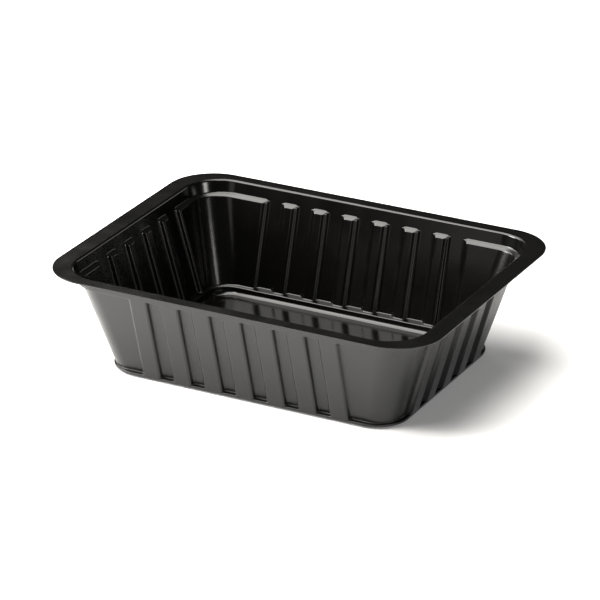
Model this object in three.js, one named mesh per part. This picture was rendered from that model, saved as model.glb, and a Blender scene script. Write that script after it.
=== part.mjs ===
// Open rectangular food tray, vacuum-formed from one thin plastic sheet.
// Millimetres, +Z up, length along X, width along Y, base on Z = 0 and centred on the origin.
import * as THREE from "three";

// Overall size and sheet.
const LENGTH = 190;
const WIDTH = 146;
const HEIGHT = 50;
const SHEET = 0.5;

// Flat sealing flange around the mouth.
const FLANGE_SHORT_SIDE = 8;
const FLANGE_LONG_SIDE = 5.6;
const FLANGE_CORNER = 22.4;
const LIP_RADIUS = 1.2;
const MOUTH_CORNER = 19;

// Walls: plain collar under the flange, then lands and outward flutes.
const DRAFT = THREE.MathUtils.degToRad(16);
const COLLAR_FOOT_Z = 44.2;
const COLLAR_CORNER = 16.5;
const TOP_LEDGE_DROP = 0.5;
const LAND_TOP_CORNER = 14;
const LAND_FOOT_CORNER = 12.5;
const FLUTE_DEPTH = 2.1;
const FLUTE_PITCH = 15.6;
const FLUTE_FLOOR_WIDTH = 7.6;
const FLUTE_SIDE_RUN = 1.6;
const FLUTES_LONG_SIDE = 7;
const FLUTES_SHORT_SIDE = 5;

// Foot ring under the walls, and the floor.
const FOOT_LEDGE_Z = 4.3;
const FOOT_LEDGE_DROP = 0.2;
const FOOT_LEDGE_WIDTH = 1.8;
const FOOT_WALL_RUN = 0.3;
const FOOT_CORNER = 10;
const INNER_FILLET = 1.2;
const OUTER_FILLET = 1.4;

// Facets.
const CORNER_FACETS = 9;
const LIP_FACETS = 3;
const FILLET_FACETS = 3;
const SIDE_FACETS = 3;

// Places along an outline: each corner takes one, and so does each side after it.
const FULL_ROUND = 8;
const MID_SIDE = 1.5;

// The sheet looks thicker than it is when cut level, because the walls lean.
const LEVEL_SHEET = SHEET / Math.cos(DRAFT);
const LIP_TURN = Math.PI / 2 - DRAFT;
const WALL_START = LIP_RADIUS * Math.tan(LIP_TURN / 2);

// One closed outline of the tray at height z, so far in from the flat of the flange.
function section(z, inset, corner) {
  return {
    z,
    halfX: LENGTH / 2 - FLANGE_SHORT_SIDE - inset,
    halfY: WIDTH / 2 - FLANGE_LONG_SIDE - inset,
    corner,
    fluted: false,
    step: 0,
  };
}

// A section whose sides follow the flutes; the lands stand in from their floors by the step.
function flutedSection(z, inset, corner, step) {
  return { ...section(z, inset, corner), fluted: true, step };
}

// The outer edge of the flange.
function flangeEdge(z) {
  const edge = section(z, 0, FLANGE_CORNER);
  return { ...edge, halfX: LENGTH / 2, halfY: WIDTH / 2 };
}

// Inset of the flute floors at height z.
function wallInset(z) {
  return WALL_START + (HEIGHT - z) * Math.tan(DRAFT);
}

// Inset of the inner face of the foot ring at its top.
function footInset() {
  return wallInset(FOOT_LEDGE_Z) + FLUTE_DEPTH + FOOT_LEDGE_WIDTH;
}

// Rounded turn from the flange down into the wall, from the flange on.
function lip(radius) {
  return Array.from({ length: LIP_FACETS + 1 }, (_, i) => {
    const turn = (LIP_TURN * i) / LIP_FACETS;
    const run = radius * Math.sin(turn);
    return section(HEIGHT - LIP_RADIUS + radius * Math.cos(turn), run, MOUTH_CORNER - run);
  });
}

// Rounded turn from the foot ring into the floor, from the wall on.
function floorFillet(floorZ, inset, corner, radius) {
  return Array.from({ length: FILLET_FACETS + 1 }, (_, i) => {
    const turn = (Math.PI / 2) * (i / FILLET_FACETS);
    const run = radius * (1 - Math.cos(turn));
    return section(floorZ + radius * (1 - Math.sin(turn)), inset + run, corner - run);
  });
}

// Faces of the sheet that look into the tray, from the flange edge down to the floor.
function innerSections() {
  const landTop = COLLAR_FOOT_Z - TOP_LEDGE_DROP;
  const ringTop = FOOT_LEDGE_Z - FOOT_LEDGE_DROP;
  const foot = footInset();
  return [
    flangeEdge(HEIGHT),
    ...lip(LIP_RADIUS),
    flutedSection(COLLAR_FOOT_Z, wallInset(COLLAR_FOOT_Z), COLLAR_CORNER, 0),
    flutedSection(landTop, wallInset(landTop), LAND_TOP_CORNER, FLUTE_DEPTH),
    flutedSection(FOOT_LEDGE_Z, wallInset(FOOT_LEDGE_Z), LAND_FOOT_CORNER, FLUTE_DEPTH),
    flutedSection(ringTop, foot, FOOT_CORNER, 0),
    ...floorFillet(SHEET, foot + FOOT_WALL_RUN, FOOT_CORNER, INNER_FILLET),
  ];
}

// Faces of the sheet that look out and down, one sheet away from the inner ones.
function outerSections() {
  const collarFoot = COLLAR_FOOT_Z - SHEET;
  const landTop = collarFoot - TOP_LEDGE_DROP;
  const ledge = FOOT_LEDGE_Z - SHEET;
  const ringTop = ledge - FOOT_LEDGE_DROP;
  const foot = footInset() - SHEET;
  const out = (z) => wallInset(z) - LEVEL_SHEET;
  return [
    flangeEdge(HEIGHT - SHEET),
    ...lip(LIP_RADIUS - SHEET),
    flutedSection(collarFoot, out(collarFoot), COLLAR_CORNER + SHEET, 0),
    flutedSection(landTop, out(landTop), LAND_TOP_CORNER + SHEET, FLUTE_DEPTH),
    flutedSection(ledge, out(ledge), LAND_FOOT_CORNER + SHEET, FLUTE_DEPTH),
    flutedSection(ringTop, foot, FOOT_CORNER + SHEET, 0),
    ...floorFillet(0, foot + FOOT_WALL_RUN, FOOT_CORNER + SHEET, OUTER_FILLET),
  ];
}

// Smooth rise from 0 to 1.
function ease(t) {
  return t * t * (3 - 2 * t);
}

// Stations over the two sloping sides of one flute: place along the wall, and share of a land.
function fluteStations(centre) {
  const rise = Array.from({ length: SIDE_FACETS + 1 }, (_, k) => k / SIDE_FACETS);
  const half = rise.map((t) => ({
    reach: FLUTE_FLOOR_WIDTH / 2 + t * FLUTE_SIDE_RUN,
    land: ease(t),
  }));
  return [
    ...half.toReversed().map(({ reach, land }) => ({ along: centre - reach, land })),
    ...half.map(({ reach, land }) => ({ along: centre + reach, land })),
  ];
}

// Points of one straight side; side 0 faces +X and the rest follow anticlockwise.
// A plain section has one point over the middle of each flute.
// Each point's place on the outline lies between those of the corners beside it.
function sidePoints(side, shape) {
  const long = side % 2 === 1;
  const reach = long ? shape.halfY : shape.halfX;
  const flutes = long ? FLUTES_LONG_SIDE : FLUTES_SHORT_SIDE;
  const centres = Array.from({ length: flutes }, (_, i) => (i - (flutes - 1) / 2) * FLUTE_PITCH);
  const stations = centres.flatMap((centre) =>
    shape.fluted ? fluteStations(centre) : [{ along: centre, land: 0 }],
  );
  return stations.map(({ along, land }) => ({
    at: 2 * side + MID_SIDE + along / LENGTH,
    flat: new THREE.Vector2(reach - land * shape.step, along).rotateAround(
      new THREE.Vector2(),
      (Math.PI / 2) * side,
    ),
  }));
}

// Points of the corner before a side, placed on the outline from 2 * side to 2 * side + 1.
function cornerPoints(side, shape) {
  const centre = new THREE.Vector2(
    (side < 2 ? 1 : -1) * (shape.halfX - shape.step - shape.corner),
    (side === 1 || side === 2 ? 1 : -1) * (shape.halfY - shape.step - shape.corner),
  );
  return Array.from({ length: CORNER_FACETS + 1 }, (_, i) => {
    const share = i / CORNER_FACETS;
    const angle = (Math.PI / 2) * (side - 1 + share);
    const spoke = new THREE.Vector2(Math.cos(angle), Math.sin(angle));
    return { at: 2 * side + share, flat: spoke.multiplyScalar(shape.corner).add(centre) };
  });
}

// The closed outline of a section, anticlockwise from above.
function outline(shape) {
  return [0, 1, 2, 3]
    .flatMap((side) => [...cornerPoints(side, shape), ...sidePoints(side, shape)])
    .map(({ at, flat }) => ({ at, x: flat.x, y: flat.y, z: shape.z }));
}

// Triangles between two outlines, walking both at once because their points differ in number.
function bridge(indices, from, to) {
  const place = ({ points }, i) => points[i]?.at ?? (i === points.length ? FULL_ROUND : Infinity);
  const index = ({ first, points }, i) => first + (i % points.length);
  let i = 0;
  let j = 0;
  while (i < from.points.length || j < to.points.length) {
    const onFrom = place(from, i + 1) <= place(to, j + 1);
    const next = onFrom ? index(from, i + 1) : index(to, j + 1);
    indices.push(index(from, i), index(to, j), next);
    i += onFrom ? 1 : 0;
    j += onFrom ? 0 : 1;
  }
}

// A flat fan from the middle of the tray to an end outline.
function closeEnd(positions, indices, { first, points }, facesDown) {
  const hub = positions.length / 3;
  positions.push(0, 0, points[0].z);
  for (let i = 0; i < points.length; i++) {
    const a = first + i;
    const b = first + ((i + 1) % points.length);
    indices.push(hub, facesDown ? b : a, facesDown ? a : b);
  }
}

// The closed skin through a run of outlines.
function skin(outlines) {
  const positions = [];
  const indices = [];
  const rings = outlines.map((points) => {
    const first = positions.length / 3;
    points.forEach(({ x, y, z }) => positions.push(x, y, z));
    return { first, points };
  });
  rings.slice(1).forEach((ring, i) => bridge(indices, rings[i], ring));
  closeEnd(positions, indices, rings[0], false);
  closeEnd(positions, indices, rings.at(-1), true);
  const geometry = new THREE.BufferGeometry();
  geometry.setAttribute("position", new THREE.Float32BufferAttribute(positions, 3));
  geometry.setIndex(indices);
  geometry.computeVertexNormals();
  return geometry;
}

// The whole sheet: floor, up the inside, over the flange, down the outside and under the base.
function trayGeometry() {
  const upInside = innerSections().reverse();
  return skin([...upInside, ...outerSections()].map(outline));
}

const blackPlastic = new THREE.MeshStandardMaterial({
  color: 0x131312,
  roughness: 0.22,
  metalness: 0,
  flatShading: true,
});

const tray = new THREE.Mesh(trayGeometry(), blackPlastic);
tray.name = "tray";

const part = new THREE.Group();
part.name = "food_tray";
part.add(tray);

export default part;
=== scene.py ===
"""An open food tray, thermoformed from one sheet of black plastic, on a plain pale floor."""

import math

import bmesh
import bpy
from mathutils import Matrix, Vector


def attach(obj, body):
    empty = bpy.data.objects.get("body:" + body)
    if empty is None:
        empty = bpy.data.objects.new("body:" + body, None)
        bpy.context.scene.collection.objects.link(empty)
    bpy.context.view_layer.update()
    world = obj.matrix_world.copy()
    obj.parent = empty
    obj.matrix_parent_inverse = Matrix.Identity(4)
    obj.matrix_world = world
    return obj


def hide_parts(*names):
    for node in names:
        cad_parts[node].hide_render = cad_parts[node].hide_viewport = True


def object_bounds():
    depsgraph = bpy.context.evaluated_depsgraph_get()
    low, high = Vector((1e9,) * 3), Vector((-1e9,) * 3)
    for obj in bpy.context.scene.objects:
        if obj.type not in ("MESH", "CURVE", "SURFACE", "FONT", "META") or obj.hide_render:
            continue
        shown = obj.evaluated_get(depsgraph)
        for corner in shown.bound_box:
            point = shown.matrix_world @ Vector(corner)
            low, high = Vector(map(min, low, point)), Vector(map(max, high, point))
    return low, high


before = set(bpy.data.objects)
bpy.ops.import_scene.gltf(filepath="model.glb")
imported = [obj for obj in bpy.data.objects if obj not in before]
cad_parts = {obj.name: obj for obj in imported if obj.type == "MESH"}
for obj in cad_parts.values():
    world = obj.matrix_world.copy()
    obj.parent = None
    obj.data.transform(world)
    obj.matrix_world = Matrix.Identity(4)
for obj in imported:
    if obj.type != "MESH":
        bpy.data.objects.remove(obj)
cad_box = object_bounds()

MM = 0.001

# Overall size, from the frame, and the sheet. Lengths are in millimetres, unless a comment says metres.
LENGTH, WIDTH, HEIGHT = (round((high - low) / MM, 3) for low, high in zip(*cad_box))
SHEET = 0.5

# Flat sealing flange around the mouth.
FLANGE_SHORT_SIDE = 8.0
FLANGE_LONG_SIDE = 5.6
FLANGE_CORNER = 22.4
LIP_RADIUS = 1.2
MOUTH_CORNER = 19.0

# Walls: plain collar under the flange, then lands and outward flutes.
DRAFT = math.radians(16.0)
COLLAR_FOOT_Z = 44.35
COLLAR_CORNER = 16.5
TOP_LEDGE_DROP = 1.0
LAND_TOP_CORNER = 14.0
LAND_FOOT_CORNER = 12.5
FLUTE_DEPTH = 2.1
FLUTE_PITCH = 15.6
FLUTE_FLOOR_WIDTH = 7.6
FLUTE_SIDE_RUN = 1.6
FLUTES_LONG_SIDE = 7
FLUTES_SHORT_SIDE = 5

# Inside, a ledge under the walls, a short foot wall and the floor.
FOOT_LEDGE_Z = 4.35
FOOT_LEDGE_DROP = 0.4
FOOT_LEDGE_WIDTH = 1.6
FOOT_WALL_RUN = 0.3
FOOT_CORNER = 10.0
FLOOR_FILLET = 2.4

# Outside, the lands end on a ring that is flush with the flutes, and the base stands inside it.
# The ring's corners stay narrow enough to leave the outermost flutes on the straight sides.
RING_TOP_Z = 2.2
RING_LEDGE_RISE = 0.5
RING_FOOT_Z = 0.9
RING_CORNER = 15.5
RING_LAND_CORNER = 11.0
BASE_INSET = 3.6
BASE_TOP_Z = 0.7
BASE_CORNER = 10.0

# The flat middles of the floor and the base start this far inside their outer corners.
FLAT_START = 3.0

# Small roundings: how far each reaches along the faces it joins.
EDGE_REACH = 0.12
LEDGE_REACH = 0.4
FOOT_REACH = 0.35
FLUTE_REACH = 1.0
RING_REACH = 0.4

# Outside, the sides of a flute are steeper than inside, and the collar foot is sharper.
OUTER_FLUTE_RUN = 1.05
OUTER_FLUTE_REACH = 0.7
OUTER_COLLAR_REACH = 0.12

# Facets of the fine mesh.
CORNER_FACETS = 32
TURN_FACETS = 6
EDGE_FACETS = 2

# How far a holding point stands off its arc. Two neighbouring roundings share the way between them:
# what they fill of it, and an arc's part of that.
HOLD = 0.2
ROOM = 0.96
ARC_SHARE = 0.85

# Black plastic. The mesh says at each point how much of an outer face it is.
OUTSIDE = "outside"
PLASTIC_COLOUR = (0.0015, 0.0014, 0.0013, 1)
PLASTIC_IOR = 1.5
INNER_ROUGHNESS = (0.13, 0.19)
OUTER_ROUGHNESS = (0.28, 0.36)

# Its noises: scale per metre and detail. The bumps made from them: strength and depth in metres.
CLOUD_NOISE = (90, 3)
CLOUD_RANGE = (0.3, 0.7)
GRAIN_NOISE = (1600, 2)
GRAIN_BUMP = (0.06, 0.00005)
DRAW_NOISE = (350, 4)
DRAW_STRETCH = (1, 1, 0.06)
DRAW_BUMP = (0.3, 0.0001)
WAVE_NOISE = (55, 1)
WAVE_BUMP = (0.03, 0.0002)

# The floor: a square that reaches this many metres each way.
FLOOR_REACH = 4.0
FLOOR_COLOUR = (0.9, 0.9, 0.9, 1)
FLOOR_ROUGHNESS = 0.8
FLOOR_GLOW = 0.15
WHITE = (1, 1, 1, 1)

# Studio lights: name, azimuth and elevation in degrees, distance in metres, half angle, radiance.
WORLD_STRENGTH = 0.04
LIGHT_COLOUR = (1.0, 0.985, 0.945)
LIGHTS = [
    ("softbox", 290, 64, 1.0, 34, 7.0),
    ("top", 324, 50, 0.9, 13, 2.8),
    ("front_left", 299, 25, 0.9, 10, 27),
    ("back", 217, 36, 2.5, 5, 6),
    ("backdrop_left", 197, 7, 2.5, 4.5, 1.6),
    ("backdrop_right", 147, 9, 2.0, 8, 1.6),
    ("rear_fill", 345, 12, 0.9, 8, 0.6),
    ("right", 72, 12, 1.5, 5.5, 12),
]

# The camera: degrees round and over the tray, then its distance, how far its axis passes from
# the origin, and its focal length. The nearest thing that it shows is given in metres.
CAMERA_AZIMUTH = 27.65
CAMERA_ELEVATION = 23.46
CAMERA_DISTANCE = 1715.6
CAMERA_RIGHT = -0.254
CAMERA_UP = 26.249
CAMERA_LENS = 228.0
CAMERA_CLIP_START = 0.1


def lip_reach(radius):
    """How far a lip of this radius reaches along the flange and down the wall."""
    return radius * math.tan((math.pi / 2 - DRAFT) / 2)


def wall_inset(z):
    """Inset of the flute floors at height z, on the inner face."""
    return lip_reach(LIP_RADIUS) + (HEIGHT - z) * math.tan(DRAFT)


def outer_inset(z):
    """The same on the outer face: the sheet is thicker when cut level, because the walls lean."""
    return wall_inset(z) - SHEET / math.cos(DRAFT)


def at_rim(z):
    """One level of the flange's edge: half length, half width, height and corner radius."""
    return Vector((LENGTH / 2, WIDTH / 2, z, FLANGE_CORNER))


def at_inset(z, inset, corner):
    """One level this far inside the mouth's edge, in the same four numbers."""
    half_x = LENGTH / 2 - FLANGE_SHORT_SIDE - inset
    half_y = WIDTH / 2 - FLANGE_LONG_SIDE - inset
    return Vector((half_x, half_y, z, corner))


def inner_profile(step):
    """Sharp levels of the faces that look into the tray, with each one's rounding and facets."""
    lip = lip_reach(LIP_RADIUS)
    collar_foot = wall_inset(COLLAR_FOOT_Z)
    land_top_z = COLLAR_FOOT_Z - TOP_LEDGE_DROP
    land_top = wall_inset(land_top_z) + step
    land_foot = wall_inset(FOOT_LEDGE_Z) + step
    foot_wall_z = FOOT_LEDGE_Z - FOOT_LEDGE_DROP
    foot_wall = wall_inset(FOOT_LEDGE_Z) + FLUTE_DEPTH + FOOT_LEDGE_WIDTH
    floor = foot_wall + FOOT_WALL_RUN
    return [
        (at_rim(HEIGHT - SHEET / 2), 0, 0),
        (at_rim(HEIGHT), EDGE_REACH, EDGE_FACETS),
        (at_inset(HEIGHT, lip, MOUTH_CORNER - lip), lip, TURN_FACETS),
        (at_inset(COLLAR_FOOT_Z, collar_foot, COLLAR_CORNER), LEDGE_REACH, TURN_FACETS),
        (at_inset(land_top_z, land_top, LAND_TOP_CORNER), LEDGE_REACH, TURN_FACETS),
        (at_inset(FOOT_LEDGE_Z, land_foot, LAND_FOOT_CORNER), FOOT_REACH, TURN_FACETS),
        (at_inset(foot_wall_z, foot_wall, FOOT_CORNER), FOOT_REACH, TURN_FACETS),
        (at_inset(SHEET, floor, FOOT_CORNER), FLOOR_FILLET, TURN_FACETS),
        (at_inset(SHEET, floor + FLAT_START, FOOT_CORNER - FLAT_START), 0, 0),
    ]


def outer_profile(step):
    """Sharp levels of the faces that look out and down: one sheet away, then the ring and the base."""
    lip = lip_reach(LIP_RADIUS - SHEET)
    collar_foot_z = COLLAR_FOOT_Z - SHEET
    collar_foot = outer_inset(collar_foot_z)
    land_top_z = collar_foot_z - TOP_LEDGE_DROP
    land_top = outer_inset(land_top_z) + step
    land_foot_z = RING_TOP_Z + RING_LEDGE_RISE
    land_foot = outer_inset(land_foot_z) + step
    base = outer_inset(RING_FOOT_Z) + BASE_INSET
    return [
        (at_rim(HEIGHT - SHEET / 2), 0, 0),
        (at_rim(HEIGHT - SHEET), EDGE_REACH, EDGE_FACETS),
        (at_inset(HEIGHT - SHEET, lip, MOUTH_CORNER - lip), lip, TURN_FACETS),
        (at_inset(collar_foot_z, collar_foot, COLLAR_CORNER + SHEET), OUTER_COLLAR_REACH, TURN_FACETS),
        (at_inset(land_top_z, land_top, LAND_TOP_CORNER + SHEET), LEDGE_REACH, TURN_FACETS),
        (at_inset(land_foot_z, land_foot, RING_LAND_CORNER), RING_REACH, TURN_FACETS),
        (at_inset(RING_TOP_Z, outer_inset(RING_TOP_Z), RING_CORNER), RING_REACH, TURN_FACETS),
        (at_inset(RING_FOOT_Z, outer_inset(RING_FOOT_Z), RING_CORNER), RING_REACH, TURN_FACETS),
        (at_inset(BASE_TOP_Z, base, BASE_CORNER), RING_REACH, TURN_FACETS),
        (at_inset(0, base, BASE_CORNER), RING_REACH, TURN_FACETS),
        (at_inset(0, base + FLAT_START, BASE_CORNER - FLAT_START), 0, 0),
    ]


def arc(start, corner, end, weight, facets):
    """Points of the round stretch from start to end whose tangents meet at the corner."""
    points = []
    for i in range(facets + 1):
        t = i / facets
        parts = ((1 - t) ** 2, 2 * t * (1 - t) * weight, t**2)
        point = sum((part * place for part, place in zip(parts, (start, corner, end))), corner * 0)
        points.append(point / sum(parts))
    return points


def rounded(corners, plane):
    """A run of sharp corners with each turned into an arc, and a holding point on both sides."""
    points = [corners[0][0]]
    for (before, behind, _), (corner, reach, facets), (after, beyond, _) in zip(
        corners, corners[1:], corners[2:]
    ):
        spans = (plane(before - corner).length, plane(after - corner).length)
        back = (before - corner) / spans[0]
        ahead = (after - corner) / spans[1]
        weight = math.sqrt(max(0.0, (1 - plane(back).dot(plane(ahead))) / 2))
        shares = (spans[0] * reach / (reach + behind), spans[1] * reach / (reach + beyond))
        hold = min(reach + HOLD, ROOM * min(shares))
        reach = min(reach, ARC_SHARE * hold)
        points.append(corner + back * hold)
        points += arc(corner + back * reach, corner, corner + ahead * reach, weight, facets)
        points.append(corner + ahead * hold)
    points.append(corners[-1][0])
    return points


def flute_stations(run, reach):
    """Stations over one side of a flute, from its middle out: place along the wall, and land share."""
    middle = (FLUTE_FLOOR_WIDTH + FLUTE_SIDE_RUN) / 2
    corners = [
        (Vector((0, 0)), 0, 0),
        (Vector((middle - run / 2, 0)), reach, TURN_FACETS),
        (Vector((middle + run / 2, FLUTE_DEPTH)), reach, TURN_FACETS),
        (Vector((FLUTE_PITCH / 2, FLUTE_DEPTH)), 0, 0),
    ]
    return [(p.x, p.y / FLUTE_DEPTH) for p in rounded(corners, lambda v: v)[:-1]]


def side_stations(flutes, half):
    """Stations along one straight side, in order: place along the wall, and land share."""
    centres = [(i - (flutes - 1) / 2) * FLUTE_PITCH for i in range(flutes)]
    stations = []
    for centre in centres:
        stations += [(centre - along, land) for along, land in reversed(half[1:])]
        stations += [(centre + along, land) for along, land in half]
    return stations


def outline(floor, land, half):
    """The closed outline of one level, in metres, anticlockwise from above."""
    points = []
    radius = land.w
    for side in range(4):
        turn = Matrix.Rotation(math.pi / 2 * side, 2)
        across = side % 2
        centre = Vector((land[across] - radius, land[1 - across] - radius))
        for i in range(CORNER_FACETS + 1):
            angle = math.pi / 2 * (i / CORNER_FACETS - 1)
            corner = Vector((centre.x, -centre.y)) + radius * Vector((math.cos(angle), math.sin(angle)))
            points.append((turn @ corner, land.z))
        flutes = FLUTES_LONG_SIDE if across else FLUTES_SHORT_SIDE
        for along, share in side_stations(flutes, half):
            level = floor.lerp(land, share)
            points.append((turn @ Vector((level[across], along)), level.z))
    return [(flat.x * MM, flat.y * MM, z * MM) for flat, z in points]


def profile_plane(level):
    """A level as seen in a cut through the wall: half length and height."""
    return Vector((level.x, level.z))


def levels(profile):
    """Every level of a profile, as those of the flute floors and of the lands."""
    floors = rounded(profile(0), profile_plane)
    lands = rounded(profile(FLUTE_DEPTH), profile_plane)
    return list(zip(floors, lands))


def tray_mesh():
    """The whole sheet: floor, up the inside, over the flange, down the outside and under the base."""
    inner_half = flute_stations(FLUTE_SIDE_RUN, FLUTE_REACH)
    outer_half = flute_stations(OUTER_FLUTE_RUN, OUTER_FLUTE_REACH)
    inner = [outline(*level, inner_half) for level in reversed(levels(inner_profile))]
    outer = [outline(*level, outer_half) for level in levels(outer_profile)[1:]]
    bm = bmesh.new()
    outside = bm.verts.layers.float.new(OUTSIDE)
    rows = []
    for ring, share in [(ring, 0.0) for ring in inner] + [(ring, 1.0) for ring in outer]:
        rows.append([bm.verts.new(p) for p in ring])
        for vertex in rows[-1]:
            vertex[outside] = share
    for row, after in zip(rows, rows[1:]):
        for i in range(len(row)):
            j = (i + 1) % len(row)
            bm.faces.new((row[i], after[i], after[j], row[j]))
    bm.faces.new(rows[0])
    bm.faces.new(list(reversed(rows[-1])))
    for face in bm.faces:
        face.smooth = True
    mesh = bpy.data.meshes.new("tray_sheet")
    bm.to_mesh(mesh)
    bm.free()
    return mesh


def black_plastic():
    """Black plastic, glossy inside and satin outside: grain, cloudiness, draw marks and slight waves."""
    material = bpy.data.materials.new("black_plastic")
    material.use_nodes = True
    nodes = material.node_tree.nodes
    links = material.node_tree.links
    shader = nodes["Principled BSDF"]
    shader.inputs["Base Color"].default_value = PLASTIC_COLOUR
    shader.inputs["IOR"].default_value = PLASTIC_IOR
    place = nodes.new("ShaderNodeTexCoord").outputs["Object"]

    def noise(scale, detail, vector):
        node = nodes.new("ShaderNodeTexNoise")
        node.inputs["Scale"].default_value = scale
        node.inputs["Detail"].default_value = detail
        links.new(vector, node.inputs["Vector"])
        return node.outputs["Fac"]

    def spread(source, low, high):
        node = nodes.new("ShaderNodeMapRange")
        node.inputs["From Min"].default_value = CLOUD_RANGE[0]
        node.inputs["From Max"].default_value = CLOUD_RANGE[1]
        node.inputs["To Min"].default_value = low
        node.inputs["To Max"].default_value = high
        links.new(source, node.inputs["Value"])
        return node.outputs["Result"]

    def bump(height, strength, distance, below=None):
        node = nodes.new("ShaderNodeBump")
        node.inputs["Strength"].default_value = strength
        node.inputs["Distance"].default_value = distance
        links.new(height, node.inputs["Height"])
        if below:
            links.new(below, node.inputs["Normal"])
        return node.outputs["Normal"]

    outside = nodes.new("ShaderNodeAttribute")
    outside.attribute_name = OUTSIDE
    cloud = noise(*CLOUD_NOISE, place)
    finish = nodes.new("ShaderNodeMix")
    links.new(outside.outputs["Fac"], finish.inputs["Factor"])
    links.new(spread(cloud, *INNER_ROUGHNESS), finish.inputs["A"])
    links.new(spread(cloud, *OUTER_ROUGHNESS), finish.inputs["B"])
    links.new(finish.outputs["Result"], shader.inputs["Roughness"])

    grain = bump(noise(*GRAIN_NOISE, place), *GRAIN_BUMP)
    stretch = nodes.new("ShaderNodeMapping")
    stretch.inputs["Scale"].default_value = DRAW_STRETCH
    links.new(place, stretch.inputs["Vector"])
    streaks = nodes.new("ShaderNodeMath")
    streaks.operation = "MULTIPLY"
    links.new(noise(*DRAW_NOISE, stretch.outputs["Vector"]), streaks.inputs[0])
    links.new(outside.outputs["Fac"], streaks.inputs[1])
    draw = bump(streaks.outputs["Value"], *DRAW_BUMP, grain)
    wave = bump(noise(*WAVE_NOISE, place), *WAVE_BUMP, draw)
    links.new(wave, shader.inputs["Normal"])
    return material


def add_tray():
    tray = bpy.data.objects.new("tray_sheet", tray_mesh())
    bpy.context.collection.objects.link(tray)
    tray.data.materials.append(black_plastic())
    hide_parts("tray")
    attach(tray, "root")


def pale_floor():
    """Pale, dull and faintly lit from within, so that it stays near white round the tray."""
    material = bpy.data.materials.new("floor")
    material.use_nodes = True
    shader = material.node_tree.nodes["Principled BSDF"]
    shader.inputs["Base Color"].default_value = FLOOR_COLOUR
    shader.inputs["Roughness"].default_value = FLOOR_ROUGHNESS
    shader.inputs["Emission Color"].default_value = WHITE
    shader.inputs["Emission Strength"].default_value = FLOOR_GLOW
    return material


def add_floor():
    """A plain square floor, wide enough to fill the view."""
    signs = [(-1, -1), (1, -1), (1, 1), (-1, 1)]
    mesh = bpy.data.meshes.new("floor")
    mesh.from_pydata([(x * FLOOR_REACH, y * FLOOR_REACH, 0) for x, y in signs], [], [(0, 1, 2, 3)])
    mesh.materials.append(pale_floor())
    floor = bpy.data.objects.new("floor", mesh)
    bpy.context.collection.objects.link(floor)


def away(azimuth, elevation):
    """Unit vector from the tray: azimuth 0 is the front, and 90 the right."""
    a, e = math.radians(azimuth), math.radians(elevation)
    return Vector((math.sin(a) * math.cos(e), -math.cos(a) * math.cos(e), math.sin(e)))


def add_light(name, azimuth, elevation, distance, half_angle, radiance):
    """A soft square light that faces the tray, as wide as the angle it is seen under."""
    data = bpy.data.lights.new(name, "AREA")
    data.size = 2 * distance * math.tan(math.radians(half_angle))
    data.energy = radiance * math.pi * data.size**2
    data.color = LIGHT_COLOUR
    light = bpy.data.objects.new(name, data)
    bpy.context.collection.objects.link(light)
    direction = away(azimuth, elevation)
    light.location = direction * distance
    light.rotation_mode = "QUATERNION"
    light.rotation_quaternion = direction.to_track_quat("Z", "Y")


def add_world():
    world = bpy.data.worlds.new("studio")
    world.use_nodes = True
    background = world.node_tree.nodes["Background"]
    background.inputs["Color"].default_value = WHITE
    background.inputs["Strength"].default_value = WORLD_STRENGTH
    bpy.context.scene.world = world


def add_camera():
    back = away(CAMERA_AZIMUTH, CAMERA_ELEVATION)
    right = away(CAMERA_AZIMUTH + 90, 0)
    up = back.cross(right)
    place = (back * CAMERA_DISTANCE + right * CAMERA_RIGHT + up * CAMERA_UP) * MM
    data = bpy.data.cameras.new("camera")
    data.lens = CAMERA_LENS
    data.clip_start = CAMERA_CLIP_START
    camera = bpy.data.objects.new("camera", data)
    bpy.context.collection.objects.link(camera)
    turn = Matrix((right, up, back)).transposed().to_4x4()
    camera.matrix_world = Matrix.Translation(place) @ turn
    bpy.context.scene.camera = camera


add_tray()
add_floor()
add_world()
for light in LIGHTS:
    add_light(*light)
add_camera()
bpy.context.scene.view_settings.view_transform = "Standard"
